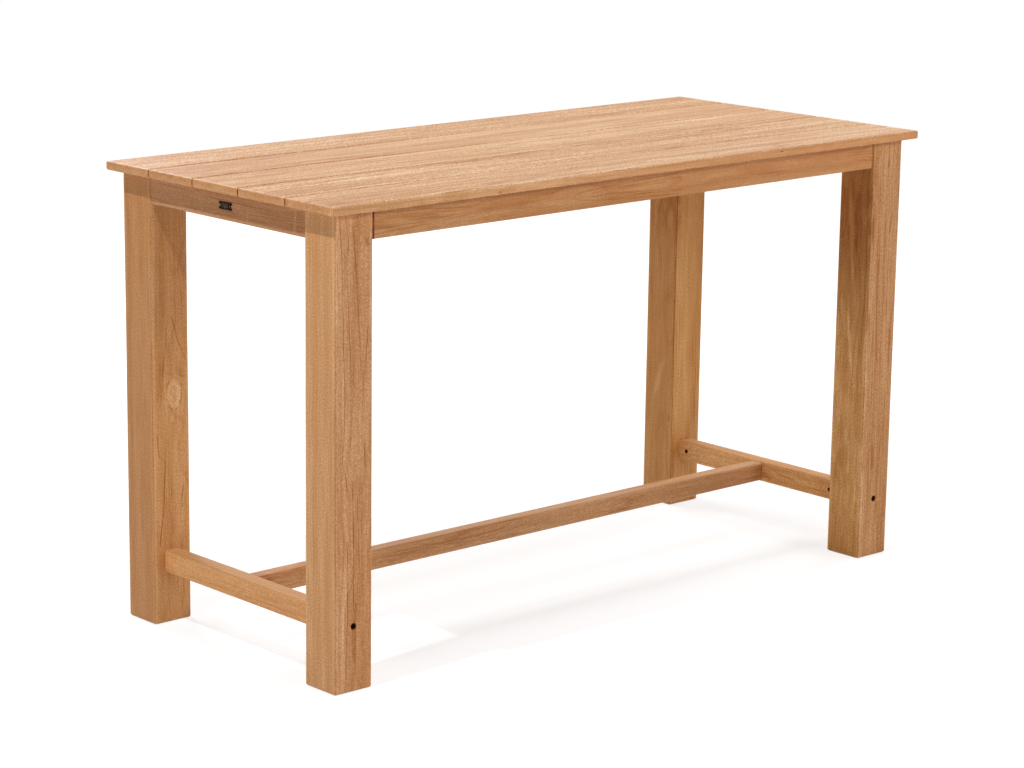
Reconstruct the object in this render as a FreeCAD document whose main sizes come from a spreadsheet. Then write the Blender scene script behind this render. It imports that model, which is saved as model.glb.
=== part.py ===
import FreeCAD, Part
import Sketcher
import math
import os

# Bar table with a slatted top, four square legs, an apron frame and an H-shaped foot rest.
# Millimetres. The origin is on the floor under the middle of the top.
# X runs along the table, Y across it and Z upwards. The front is at -Y.

SIZES = {
    # The whole table.
    "table_length": 1800,
    "table_width": 800,
    "table_height": 1050,
    "top_overhang": 26,
    # Boards of the top.
    "board_thickness": 20,
    "board_gap": 4,
    "board_round": 4,
    # Legs.
    "leg_side": 100,
    "leg_round": 3,
    "foot_chamfer": 4,
    "leg_flat": 20,
    # Aprons.
    "apron_height": 63,
    "apron_thickness": 25,
    "apron_recess": 3,
    "apron_round": 2,
    # Battens under the boards.
    "batten_width": 70,
    "batten_thickness": 20,
    "batten_round": 2,
    "housing_depth": 10,
    # Cleats that carry the boards along the end aprons.
    "cleat_width": 35,
    # Corner braces between the aprons.
    "brace_thickness": 28,
    "brace_height": 42,
    "brace_gap": 8,
    "tongue_width": 9,
    "tongue_depth": 6,
    # Stretchers at the foot.
    "stretcher_middle": 145,
    "stretcher_thickness": 40,
    "stretcher_height": 52,
    "stretcher_round": 6,
    "rail_thickness": 40,
    "rail_height": 46,
    "tenon_length": 24,
    "tenon_thickness": 14,
    "tenon_height": 28,
    # Bolts that draw the stretchers to the legs.
    "bolt_diameter": 6,
    "bolt_reach": 30,
    "bolt_head_diameter": 10,
    "bolt_head_height": 6,
    "bolt_key": 5,
    "bolt_key_depth": 3,
    "bolt_bore": 7,
    "counterbore_diameter": 14,
    "counterbore_depth": 20,
    "barrel_diameter": 10,
    "barrel_length": 16,
    "barrel_setback": 26,
    # Hanger bolts that draw the legs into the corners of the frame.
    "hanger_diameter": 8,
    "hanger_length": 100,
    "hanger_in_leg": 50,
    "hanger_bore": 9,
    "hanger_nut_across": 13,
    "hanger_nut_height": 8,
    "hanger_flange_diameter": 18,
    "hanger_flange_thickness": 2,
    # Plate on the left end apron.
    "plate_length": 45,
    "plate_height": 17,
    "plate_thickness": 1.2,
    "plate_notch_radius": 3.6,
    # Room left between pieces that are glued, screwed or bolted together.
    "fit_clearance": 0.2,
    # How far a cut runs past the face it opens.
    "overrun": 5,
}

BOARD_COUNT = 5
BATTEN_COUNT = 3
LEFT, RIGHT = -1, 1
FRONT, BACK = -1, 1
CORNERS = {
    "front_left": (LEFT, FRONT),
    "front_right": (RIGHT, FRONT),
    "back_right": (RIGHT, BACK),
    "back_left": (LEFT, BACK),
}

# Places that several pieces share, worked out from the sizes.
UNDER_TOP = "(Sizes.table_height - Sizes.board_thickness)"
LEG_AXIS_X = "(Sizes.table_length / 2 - Sizes.top_overhang - Sizes.leg_side / 2)"
LEG_AXIS_Y = "(Sizes.table_width / 2 - Sizes.top_overhang - Sizes.leg_side / 2)"
BETWEEN_LEGS_X = f"(2 * {LEG_AXIS_X} - Sizes.leg_side)"
BETWEEN_LEGS_Y = f"(2 * {LEG_AXIS_Y} - Sizes.leg_side)"
APRON_FACE = "(Sizes.leg_side / 2 - Sizes.apron_recess)"
APRON_BACK = f"({APRON_FACE} - Sizes.apron_thickness)"
APRON_BOTTOM = f"({UNDER_TOP} - Sizes.apron_height)"
BOARD_WIDTH = (
    f"((Sizes.table_width - {BOARD_COUNT - 1} * Sizes.board_gap) / {BOARD_COUNT})"
)
BOARD_PITCH = f"({BOARD_WIDTH} + Sizes.board_gap)"
BATTEN_PITCH = f"(2 * {LEG_AXIS_X} / {BATTEN_COUNT + 1})"
BATTEN_BOTTOM = f"({UNDER_TOP} - Sizes.batten_thickness)"

# Distances from a leg's axis along its diagonal, towards the middle of the table.
FLAT_OUT = "((Sizes.leg_side - Sizes.leg_flat) / sqrt(2))"
BRACE_OUT = f"({FLAT_OUT} + Sizes.brace_gap)"
BRACE_IN = f"({BRACE_OUT} + Sizes.brace_thickness)"
HANGER_HEIGHT = f"({APRON_BOTTOM} + Sizes.brace_height / 2)"

# Distances along an apron from a leg's axis to a brace that ends on it.
BRACE_NEAR = f"({BRACE_OUT} * sqrt(2) + {APRON_BACK})"
BRACE_FAR = f"({BRACE_IN} * sqrt(2) + {APRON_BACK})"
BRACE_TONGUE = f"(({BRACE_NEAR} + {BRACE_FAR}) / 2)"

# The barrel nut is held in the middle of the end stretcher's thickness.
BARREL_DEPTH = "(Sizes.stretcher_thickness / 2 + Sizes.barrel_length / 2 + Sizes.fit_clearance)"

# A stretcher bolt runs from the bottom of its counterbore to its reach into the stretcher.
BOLT_SEAT = "(Sizes.leg_side / 2 - Sizes.counterbore_depth)"
BOLT_LENGTH = "(Sizes.leg_side - Sizes.counterbore_depth + Sizes.bolt_reach)"

X_WAY = FreeCAD.Vector(1, 0, 0)
Y_WAY = FreeCAD.Vector(0, 1, 0)
Z_WAY = FreeCAD.Vector(0, 0, 1)

# A difference too small to count when edges are picked.
NEGLIGIBLE = 1e-6

doc = FreeCAD.newDocument("bar_table")
nodes = []


def make_sheet():
    sheet = doc.addObject("Spreadsheet::Sheet", "Sizes")
    for row, (alias, value) in enumerate(SIZES.items(), start=1):
        sheet.set(f"A{row}", alias)
        sheet.set(f"B{row}", str(value))
        sheet.setAlias(f"B{row}", alias)
    doc.recompute()


def place(piece, x=None, y=None, z=None, turn=None):
    """Turns a piece about its own origin and ties its place to the sizes."""
    if turn is not None:
        piece.Placement = FreeCAD.Placement(FreeCAD.Vector(), turn)
    for axis, expression in (("x", x), ("y", y), ("z", z)):
        if expression is not None:
            piece.setExpression(f"Placement.Base.{axis}", expression)


def about_z(degrees):
    return FreeCAD.Rotation(FreeCAD.Vector(0, 0, 1), degrees)


def new_body(name):
    body = doc.addObject("PartDesign::Body", name)
    body.Label = name
    nodes.append(body)
    return body


def new_sketch(body, role, x=None, y=None, z=None, turn=None):
    """A sketch on one of the body's own planes, moved by its attachment offset."""
    sketch = body.newObject("Sketcher::SketchObject", "sketch")
    plane = next(f for f in body.Origin.OriginFeatures if f.Role == role)
    sketch.AttachmentSupport = (plane, [""])
    sketch.MapMode = "FlatFace"
    if turn is not None:
        sketch.AttachmentOffset = FreeCAD.Placement(FreeCAD.Vector(), turn)
    for axis, expression in (("x", x), ("y", y), ("z", z)):
        if expression is not None:
            sketch.setExpression(f"AttachmentOffset.Base.{axis}", expression)
    return sketch


def draw_outline(sketch, corners):
    """Straight lines round the corners, each corner tied to the sketch's origin."""
    count = len(corners)
    start = [
        FreeCAD.Vector(math.cos(2 * math.pi * i / count), math.sin(2 * math.pi * i / count))
        for i in range(count)
    ]
    for i in range(count):
        sketch.addGeometry(Part.LineSegment(start[i], start[(i + 1) % count]))
    for i in range(count):
        sketch.addConstraint(Sketcher.Constraint("Coincident", i, 2, (i + 1) % count, 1))
    for i, corner in enumerate(corners):
        for kind, expression in zip(("DistanceX", "DistanceY"), corner):
            value = getattr(start[i], kind[-1].lower())
            index = sketch.addConstraint(Sketcher.Constraint(kind, -1, 1, i, 1, value))
            sketch.setExpression(f"Constraints[{index}]", expression)


def draw_rectangle(sketch, width, height):
    """A rectangle centred on the sketch's origin."""
    right, top = f"{width} / 2", f"{height} / 2"
    draw_outline(
        sketch,
        [(f"-{right}", f"-{top}"), (right, f"-{top}"), (right, top), (f"-{right}", top)],
    )


def draw_circle(sketch, diameter):
    """A circle centred on the sketch's origin."""
    sketch.addGeometry(Part.Circle())
    sketch.addConstraint(Sketcher.Constraint("Coincident", 0, 3, -1, 1))
    index = sketch.addConstraint(Sketcher.Constraint("Diameter", 0, 2))
    sketch.setExpression(f"Constraints[{index}]", diameter)


def pad(body, sketch, length):
    feature = body.newObject("PartDesign::Pad", "pad")
    feature.Profile = sketch
    feature.setExpression("Length", length)
    return feature


def pocket(body, sketch, depth, along_normal=False):
    """Cuts against the sketch's normal, or along it."""
    feature = body.newObject("PartDesign::Pocket", "pocket")
    feature.Profile = sketch
    feature.Reversed = along_normal
    feature.setExpression("Length", depth)
    return feature


def dress(body, kind, base, size_name, size, wanted):
    """A fillet or chamfer on the edges of the base for which wanted(edge) is true."""
    doc.recompute()
    names = [f"Edge{i}" for i, edge in enumerate(base.Shape.Edges, start=1) if wanted(edge)]
    feature = body.newObject(f"PartDesign::{kind}", kind.lower())
    feature.Base = (base, names)
    feature.setExpression(size_name, size)
    return feature


def fillet(body, base, radius, wanted):
    return dress(body, "Fillet", base, "Radius", radius, wanted)


def chamfer(body, base, size, wanted):
    return dress(body, "Chamfer", base, "Size", size, wanted)


def repeat(body, feature, role, count, step):
    """Repeats a feature along one of the body's own axes."""
    axis = next(f for f in body.Origin.OriginFeatures if f.Role == role)
    pattern = body.newObject("PartDesign::LinearPattern", "pattern")
    pattern.Originals = [feature]
    pattern.Direction = (axis, [""])
    pattern.Mode = "Spacing"
    pattern.setExpression("Offset", step)
    pattern.Occurrences = count
    body.Tip = pattern
    return pattern


def mirror(body, feature, role):
    """Repeats a feature on the other side of one of the body's own planes."""
    plane = next(f for f in body.Origin.OriginFeatures if f.Role == role)
    mirrored = body.newObject("PartDesign::Mirrored", "mirrored")
    mirrored.Originals = [feature]
    mirrored.MirrorPlane = (plane, [""])
    body.Tip = mirrored
    return mirrored


def runs_along(edge, axis):
    """True for a straight edge that is parallel to the axis."""
    if not isinstance(edge.Curve, Part.Line):
        return False
    return abs(abs(edge.Curve.Direction.dot(axis)) - 1) < NEGLIGIBLE


def at_bottom(edge):
    """True for an edge in the body's own XY plane."""
    return edge.BoundBox.ZMax < NEGLIGIBLE


def make_board(index):
    """One board of the top, with rounded edges round its upper and lower faces."""
    board = new_body(f"top_board_{index + 1}")
    blank_sketch = new_sketch(board, "XY_Plane")
    draw_rectangle(blank_sketch, "Sizes.table_length", BOARD_WIDTH)
    blank = pad(board, blank_sketch, "Sizes.board_thickness")
    fillet(board, blank, "Sizes.board_round", lambda edge: not runs_along(edge, Z_WAY))
    place(board, y=f"({index} - {BOARD_COUNT - 1} / 2) * {BOARD_PITCH}", z=UNDER_TOP)


def make_leg(corner, side_x, side_y):
    """A square leg with a bolt hole low on its front or back face.

    Its inner corner is cut to a flat beside the brace, with a hole for the hanger bolt.
    """
    leg = new_body(f"leg_{corner}")
    blank_sketch = new_sketch(leg, "XY_Plane")
    draw_rectangle(blank_sketch, "Sizes.leg_side", "Sizes.leg_side")
    blank = pad(leg, blank_sketch, UNDER_TOP)
    chamfered = chamfer(leg, blank, "Sizes.foot_chamfer", at_bottom)
    fillet(leg, chamfered, "Sizes.leg_round", lambda edge: runs_along(edge, Z_WAY))

    flat_sketch = new_sketch(
        leg,
        "XY_Plane",
        x=f"{-side_x} * Sizes.leg_side / 2",
        y=f"{-side_y} * Sizes.leg_side / 2",
        z=UNDER_TOP,
        turn=about_z(45),
    )
    draw_rectangle(flat_sketch, "Sizes.leg_flat * sqrt(2)", "Sizes.leg_flat * sqrt(2)")
    pocket(leg, flat_sketch, "Sizes.apron_height")

    # The plane faces the middle of the table, along the leg's diagonal.
    diagonal = math.degrees(math.atan2(-side_x, side_y))
    hanger_sketch = new_sketch(
        leg,
        "XZ_Plane",
        y=HANGER_HEIGHT,
        turn=FreeCAD.Rotation(FreeCAD.Vector(0, 1, 0), diagonal),
    )
    draw_circle(hanger_sketch, "Sizes.hanger_diameter + 2 * Sizes.fit_clearance")
    pocket(leg, hanger_sketch, "Sizes.leg_side", along_normal=True)

    for diameter, depth in (
        ("Sizes.bolt_bore", "Sizes.leg_side + Sizes.overrun"),
        ("Sizes.counterbore_diameter", "Sizes.counterbore_depth"),
    ):
        bolt_sketch = new_sketch(
            leg,
            "XZ_Plane",
            y="Sizes.stretcher_middle",
            z=f"{-side_y} * Sizes.leg_side / 2",
        )
        draw_circle(bolt_sketch, diameter)
        pocket(leg, bolt_sketch, depth, along_normal=(side_y == BACK))
    place(leg, x=f"{side_x} * {LEG_AXIS_X}", y=f"{side_y} * {LEG_AXIS_Y}")


def make_apron(name, length, turn, x=None, y=None, battens=0):
    """An apron board between two legs. Its own +Y is the side towards the table's middle."""
    apron = new_body(name)
    middle = "Sizes.apron_thickness / 2"
    blank_sketch = new_sketch(apron, "XY_Plane", y=middle)
    draw_rectangle(blank_sketch, length, "Sizes.apron_thickness")
    blank = pad(apron, blank_sketch, "Sizes.apron_height")
    fillet(
        apron,
        blank,
        "Sizes.apron_round",
        lambda edge: runs_along(edge, X_WAY) and at_bottom(edge),
    )

    # An upright groove near each end takes a brace's tongue and is open at the bottom.
    groove_sketch = new_sketch(
        apron,
        "XY_Plane",
        x=f"-({length} + Sizes.leg_side) / 2 + {BRACE_TONGUE}",
        y="Sizes.apron_thickness",
    )
    draw_rectangle(
        groove_sketch,
        "(Sizes.tongue_width + 2 * Sizes.fit_clearance)",
        "(2 * Sizes.tongue_depth + 2 * Sizes.fit_clearance)",
    )
    groove = pocket(
        apron, groove_sketch, "Sizes.brace_height + Sizes.fit_clearance", along_normal=True
    )
    mirror(apron, groove, "YZ_Plane")

    if battens:
        housing_sketch = new_sketch(
            apron,
            "XY_Plane",
            x=f"-{BATTEN_PITCH} * {battens - 1} / 2",
            y="Sizes.apron_thickness",
            z="Sizes.apron_height",
        )
        draw_rectangle(
            housing_sketch,
            "(Sizes.batten_width + 2 * Sizes.fit_clearance)",
            "(2 * Sizes.housing_depth + 2 * Sizes.fit_clearance)",
        )
        housing = pocket(apron, housing_sketch, "Sizes.batten_thickness")
        repeat(apron, housing, "X_Axis", battens, BATTEN_PITCH)

    place(apron, x=x, y=y, z=APRON_BOTTOM, turn=about_z(turn))


def make_batten(name, column):
    """A flat batten under the boards, its ends let into the long aprons."""
    batten = new_body(name)
    blank_sketch = new_sketch(batten, "XY_Plane")
    draw_rectangle(
        blank_sketch,
        "Sizes.batten_width",
        f"(2 * ({LEG_AXIS_Y} + {APRON_BACK} + Sizes.housing_depth))",
    )
    blank = pad(batten, blank_sketch, "Sizes.batten_thickness")
    fillet(
        batten,
        blank,
        "Sizes.batten_round",
        lambda edge: runs_along(edge, Y_WAY) and at_bottom(edge),
    )
    place(batten, x=f"{column} * {BATTEN_PITCH}", z=BATTEN_BOTTOM)


def make_cleat(name, side_x):
    """A strip along the inside of an end apron, under the ends of the boards."""
    cleat = new_body(name)
    blank_sketch = new_sketch(cleat, "XY_Plane")
    draw_rectangle(blank_sketch, "Sizes.cleat_width", BETWEEN_LEGS_Y)
    blank = pad(cleat, blank_sketch, "Sizes.batten_thickness")
    fillet(
        cleat,
        blank,
        "Sizes.batten_round",
        lambda edge: runs_along(edge, Y_WAY)
        and at_bottom(edge)
        and edge.BoundBox.XMin * side_x < 0,
    )
    place(
        cleat,
        x=f"{side_x} * ({LEG_AXIS_X} + {APRON_BACK} - Sizes.cleat_width / 2)",
        z=BATTEN_BOTTOM,
    )


def make_brace(corner, side_x, side_y, turn):
    """A corner brace set across the inner corner of a leg, with a tongue in each apron."""
    brace = new_body(f"corner_brace_{corner}")
    back = f"-{APRON_BACK}"
    tip = f"-({APRON_BACK} + Sizes.tongue_depth)"
    low = f"({BRACE_TONGUE} - Sizes.tongue_width / 2)"
    high = f"({BRACE_TONGUE} + Sizes.tongue_width / 2)"
    half = [
        (BRACE_NEAR, back),
        (low, back),
        (low, tip),
        (high, tip),
        (high, back),
        (BRACE_FAR, back),
    ]
    outline_sketch = new_sketch(brace, "XY_Plane")
    draw_outline(outline_sketch, half + [(y, x) for x, y in reversed(half)])
    pad(brace, outline_sketch, "Sizes.brace_height")
    bolt_sketch = new_sketch(
        brace,
        "XZ_Plane",
        y="Sizes.brace_height / 2",
        turn=FreeCAD.Rotation(FreeCAD.Vector(0, 1, 0), 135),
    )
    draw_circle(bolt_sketch, "Sizes.hanger_bore")
    pocket(brace, bolt_sketch, f"{BRACE_IN} + Sizes.overrun", along_normal=True)
    place(
        brace,
        x=f"{side_x} * {LEG_AXIS_X}",
        y=f"{side_y} * {LEG_AXIS_Y}",
        z=APRON_BOTTOM,
        turn=about_z(turn),
    )


def make_end_stretcher(name, side_x, turn):
    """A stretcher between the two legs of one end. Its own +X is the side towards the middle."""
    stretcher = new_body(name)
    blank_sketch = new_sketch(stretcher, "XY_Plane", z="-Sizes.stretcher_height / 2")
    draw_rectangle(blank_sketch, "Sizes.stretcher_thickness", BETWEEN_LEGS_Y)
    blank = pad(stretcher, blank_sketch, "Sizes.stretcher_height")
    fillet(stretcher, blank, "Sizes.stretcher_round", lambda edge: runs_along(edge, Y_WAY))

    mortise_sketch = new_sketch(stretcher, "YZ_Plane", z="Sizes.stretcher_thickness / 2")
    draw_rectangle(
        mortise_sketch,
        "(Sizes.tenon_thickness + 2 * Sizes.fit_clearance)",
        "(Sizes.tenon_height + 2 * Sizes.fit_clearance)",
    )
    pocket(stretcher, mortise_sketch, "Sizes.tenon_length + Sizes.fit_clearance")

    barrel_sketch = new_sketch(
        stretcher,
        "YZ_Plane",
        x=f"{BETWEEN_LEGS_Y} / 2 - Sizes.barrel_setback",
        z="Sizes.stretcher_thickness / 2",
    )
    draw_circle(barrel_sketch, "Sizes.barrel_diameter + 2 * Sizes.fit_clearance")
    barrel_hole = pocket(stretcher, barrel_sketch, BARREL_DEPTH)
    mirror(stretcher, barrel_hole, "XZ_Plane")

    bore_sketch = new_sketch(stretcher, "XZ_Plane", z=f"{BETWEEN_LEGS_Y} / 2")
    draw_circle(bore_sketch, "Sizes.bolt_bore")
    bore = pocket(stretcher, bore_sketch, "Sizes.bolt_reach + Sizes.fit_clearance")
    mirror(stretcher, bore, "XZ_Plane")
    place(
        stretcher,
        x=f"{side_x} * {LEG_AXIS_X}",
        z="Sizes.stretcher_middle",
        turn=about_z(turn),
    )


def make_long_stretcher():
    """The foot rail between the end stretchers, with a tenon at each end."""
    rail = new_body("long_stretcher")
    length = f"(2 * {LEG_AXIS_X} - Sizes.stretcher_thickness)"
    blank_sketch = new_sketch(rail, "XY_Plane", z="-Sizes.rail_height / 2")
    draw_rectangle(blank_sketch, length, "Sizes.rail_thickness")
    blank = pad(rail, blank_sketch, "Sizes.rail_height")
    fillet(rail, blank, "Sizes.stretcher_round", lambda edge: runs_along(edge, X_WAY))
    tenon_sketch = new_sketch(rail, "YZ_Plane", z=f"-({length} / 2 + Sizes.tenon_length)")
    draw_rectangle(tenon_sketch, "Sizes.tenon_thickness", "Sizes.tenon_height")
    pad(rail, tenon_sketch, f"{length} + 2 * Sizes.tenon_length")
    place(rail, z="Sizes.stretcher_middle")


def make_plate():
    """A small blank metal plate with a round notch in each end."""
    plate = new_body("name_plate")
    blank_sketch = new_sketch(plate, "YZ_Plane")
    draw_rectangle(blank_sketch, "Sizes.plate_length", "Sizes.plate_height")
    pad(plate, blank_sketch, "Sizes.plate_thickness")
    notch_sketch = new_sketch(plate, "YZ_Plane", x="Sizes.plate_length / 2")
    draw_circle(notch_sketch, "2 * Sizes.plate_notch_radius")
    notch = pocket(plate, notch_sketch, "Sizes.plate_thickness", along_normal=True)
    mirror(plate, notch, "XZ_Plane")
    place(
        plate,
        x=f"-({LEG_AXIS_X} + {APRON_FACE} + Sizes.plate_thickness)",
        z=f"{APRON_BOTTOM} + Sizes.apron_height / 2",
    )


def cylinder(diameter, height, z=None):
    solid = doc.addObject("Part::Cylinder", "cylinder")
    solid.setExpression("Radius", f"({diameter}) / 2")
    solid.setExpression("Height", height)
    place(solid, z=z)
    return solid


def hexagon(across, height, z=None):
    """A six-sided prism, its size given across its flats."""
    solid = doc.addObject("Part::Prism", "hexagon")
    solid.Polygon = 6
    solid.setExpression("Circumradius", f"{across} / sqrt(3)")
    solid.setExpression("Height", height)
    place(solid, z=z)
    return solid


def boolean(kind, base, tool):
    result = doc.addObject(f"Part::{kind}", kind.lower())
    result.Base = base
    result.Tool = tool
    return result


def group(name, pieces):
    """Like pieces as separate solids under one name."""
    compound = doc.addObject("Part::Compound", name)
    compound.Label = name
    compound.Links = pieces
    nodes.append(compound)


def bolt_blank():
    """A socket-head bolt along Z, with the underside of its head at the origin."""
    shank = cylinder("Sizes.bolt_diameter", BOLT_LENGTH, z=f"-{BOLT_LENGTH}")
    head = cylinder("Sizes.bolt_head_diameter", "Sizes.bolt_head_height")
    key = hexagon(
        "Sizes.bolt_key",
        "Sizes.bolt_key_depth + Sizes.overrun",
        z="Sizes.bolt_head_height - Sizes.bolt_key_depth",
    )
    return boolean("Cut", boolean("Fuse", shank, head), key)


def nut_blank():
    """A flange nut along Z, with its flange at the origin."""
    flange = cylinder("Sizes.hanger_flange_diameter", "Sizes.hanger_flange_thickness")
    hexagonal = hexagon("Sizes.hanger_nut_across", "Sizes.hanger_nut_height")
    bore = cylinder(
        "Sizes.hanger_diameter + 2 * Sizes.fit_clearance", "Sizes.hanger_nut_height"
    )
    return boolean("Cut", boolean("Fuse", flange, hexagonal), bore)


def barrel_blank():
    """A barrel nut along Z, with its cross hole along Y."""
    barrel = cylinder("Sizes.barrel_diameter", "Sizes.barrel_length", z="-Sizes.barrel_length / 2")
    hole = cylinder(
        "Sizes.bolt_diameter + 2 * Sizes.fit_clearance",
        "2 * Sizes.barrel_diameter",
    )
    hole.Placement = FreeCAD.Placement(
        FreeCAD.Vector(), FreeCAD.Rotation(FreeCAD.Vector(1, 0, 0), 90)
    )
    hole.setExpression("Placement.Base.y", "Sizes.barrel_diameter")
    return boolean("Cut", barrel, hole)


def make_stretcher_hardware():
    """Bolts through the legs and the barrel nuts in the end stretchers."""
    bolts, barrels = [], []
    for side_x, side_y in CORNERS.values():
        outward = FreeCAD.Rotation(FreeCAD.Vector(1, 0, 0), -90 * side_y)
        x = f"{side_x} * {LEG_AXIS_X}"
        bolt = bolt_blank()
        place(
            bolt,
            x=x,
            y=f"{side_y} * ({LEG_AXIS_Y} + {BOLT_SEAT})",
            z="Sizes.stretcher_middle",
            turn=outward,
        )
        bolts.append(bolt)
        barrel = barrel_blank()
        place(
            barrel,
            x=x,
            y=f"{side_y} * ({BETWEEN_LEGS_Y} / 2 - Sizes.barrel_setback)",
            z="Sizes.stretcher_middle",
            turn=FreeCAD.Rotation(FreeCAD.Vector(0, 1, 0), -90 * side_x),
        )
        barrels.append(barrel)
    group("stretcher_bolts", bolts)
    group("barrel_nuts", barrels)


def make_hanger_hardware():
    """Hanger bolts out of the legs, with a flange nut behind each brace."""
    bolts, nuts = [], []
    for side_x, side_y in CORNERS.values():
        inward = FreeCAD.Rotation(
            FreeCAD.Vector(0, 0, 1), FreeCAD.Vector(-side_x, -side_y, 0)
        )

        def along_diagonal(piece, distance):
            place(
                piece,
                x=f"{side_x} * ({LEG_AXIS_X} - {distance} / sqrt(2))",
                y=f"{side_y} * ({LEG_AXIS_Y} - {distance} / sqrt(2))",
                z=HANGER_HEIGHT,
                turn=inward,
            )
            return piece

        bolt = cylinder("Sizes.hanger_diameter", "Sizes.hanger_length")
        bolts.append(along_diagonal(bolt, f"({FLAT_OUT} - Sizes.hanger_in_leg)"))
        nuts.append(along_diagonal(nut_blank(), BRACE_IN))
    group("hanger_bolts", bolts)
    group("hanger_nuts", nuts)


def check_document():
    doc.recompute()
    for item in doc.Objects:
        if "Invalid" in item.State or "Error" in item.State:
            raise RuntimeError(f"{item.Name} ({item.Label}) failed: {item.State}")
    for node in nodes:
        if node.Shape.isNull() or not node.Shape.isValid() or not node.Shape.Solids:
            raise RuntimeError(f"{node.Label} has no valid solid")


def write_parts():
    os.makedirs("parts", exist_ok=True)
    for node in nodes:
        node.Shape.exportStep(f"parts/{node.Label}.step")
        print(node.Label, len(node.Shape.Solids), round(node.Shape.Volume))


make_sheet()
for board_index in range(BOARD_COUNT):
    make_board(board_index)
for corner_name, (corner_x, corner_y) in CORNERS.items():
    make_leg(corner_name, corner_x, corner_y)
make_apron(
    "long_apron_front",
    BETWEEN_LEGS_X,
    0,
    y=f"-({LEG_AXIS_Y} + {APRON_FACE})",
    battens=BATTEN_COUNT,
)
make_apron(
    "long_apron_back",
    BETWEEN_LEGS_X,
    180,
    y=f"{LEG_AXIS_Y} + {APRON_FACE}",
    battens=BATTEN_COUNT,
)
make_apron("end_apron_left", BETWEEN_LEGS_Y, -90, x=f"-({LEG_AXIS_X} + {APRON_FACE})")
make_apron("end_apron_right", BETWEEN_LEGS_Y, 90, x=f"{LEG_AXIS_X} + {APRON_FACE}")
for batten_name, batten_column in (("left", LEFT), ("middle", 0), ("right", RIGHT)):
    make_batten(f"batten_{batten_name}", batten_column)
make_cleat("end_cleat_left", LEFT)
make_cleat("end_cleat_right", RIGHT)
for quarter, (corner_name, (corner_x, corner_y)) in enumerate(CORNERS.items()):
    make_brace(corner_name, corner_x, corner_y, 90 * quarter)
make_end_stretcher("end_stretcher_left", LEFT, 0)
make_end_stretcher("end_stretcher_right", RIGHT, 180)
make_long_stretcher()
make_plate()
make_stretcher_hardware()
make_hanger_hardware()
check_document()
write_parts()
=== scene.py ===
import math

import bmesh
import bpy
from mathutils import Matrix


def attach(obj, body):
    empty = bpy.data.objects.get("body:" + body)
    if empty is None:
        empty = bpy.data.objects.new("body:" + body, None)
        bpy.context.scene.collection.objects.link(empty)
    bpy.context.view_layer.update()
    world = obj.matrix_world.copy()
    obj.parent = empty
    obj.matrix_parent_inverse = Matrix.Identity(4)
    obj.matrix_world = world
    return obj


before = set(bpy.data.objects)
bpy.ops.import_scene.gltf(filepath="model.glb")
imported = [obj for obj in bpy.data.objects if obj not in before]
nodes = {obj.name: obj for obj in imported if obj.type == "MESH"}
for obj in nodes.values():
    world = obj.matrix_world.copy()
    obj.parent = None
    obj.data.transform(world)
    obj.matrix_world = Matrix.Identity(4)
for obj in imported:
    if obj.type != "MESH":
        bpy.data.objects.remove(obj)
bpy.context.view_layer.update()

# Top boards
# Five teak boards lie side by side with narrow gaps between them.
# They are planed, rounded along their edges, oiled, and screwed on from below.


def node(tree, kind, inputs=None, **settings):
    """A shader node. Each input is a plain value or the output of another node."""
    made = tree.nodes.new(kind)
    for setting, value in settings.items():
        setattr(made, setting, value)
    for socket, value in (inputs or {}).items():
        if isinstance(value, bpy.types.NodeSocket):
            tree.links.new(value, made.inputs[socket])
        else:
            made.inputs[socket].default_value = value
    return made.outputs[0]


def calc(tree, operation, a, b=0.0, c=0.0):
    return node(tree, "ShaderNodeMath", {0: a, 1: b, 2: c}, operation=operation)


# How fine each noise of the wood is across the grain and along it, per metre.
DRIFT, PATCH, CLOUD, STREAK = (7.0, 2.6), (24.0, 4.0), (17.0, 2.0), (48.0, 2.4)
HAIR, FIBRE, SPECK = (230.0, 6.0), (300.0, 12.0), (420.0, 260.0)
EYE_OUTLINE, EYE_RIM, MARK = (55.0, 40.0), (90.0, 30.0), (70.0, 22.0)


def stretched_noise(tree, across, along, fineness, seed, detail=2.0, long=1.0):
    """Noise drawn out along the grain, and drawn out once more by long."""
    place = node(
        tree,
        "ShaderNodeCombineXYZ",
        {
            0: calc(tree, "MULTIPLY_ADD", across[0], fineness[0], seed),
            1: calc(tree, "MULTIPLY_ADD", across[1], fineness[0], seed * 0.7),
            2: calc(tree, "MULTIPLY_ADD", along, fineness[1] / long, seed * 1.3),
        },
    )
    return node(tree, "ShaderNodeTexNoise", {"Vector": place, "Scale": 1.0, "Detail": detail})


def ring_noise(tree, radius, per_metre, seed, detail):
    """Noise that changes only from ring to ring of the log."""
    place = calc(tree, "MULTIPLY_ADD", radius, per_metre, seed)
    return node(
        tree, "ShaderNodeTexNoise", {"W": place, "Scale": 1.0, "Detail": detail}, noise_dimensions="1D"
    )


def spread(tree, value, low, high, to_low=0.0, to_high=1.0, kind="SMOOTHSTEP"):
    """Maps a value from one span to another, and holds it at the ends."""
    return node(
        tree,
        "ShaderNodeMapRange",
        {"Value": value, "From Min": low, "From Max": high, "To Min": to_low, "To Max": to_high},
        interpolation_type=kind,
    )


def around(tree, value, amount):
    """A noise value centred on nought and scaled."""
    return calc(tree, "MULTIPLY_ADD", value, amount, -0.5 * amount)


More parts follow.
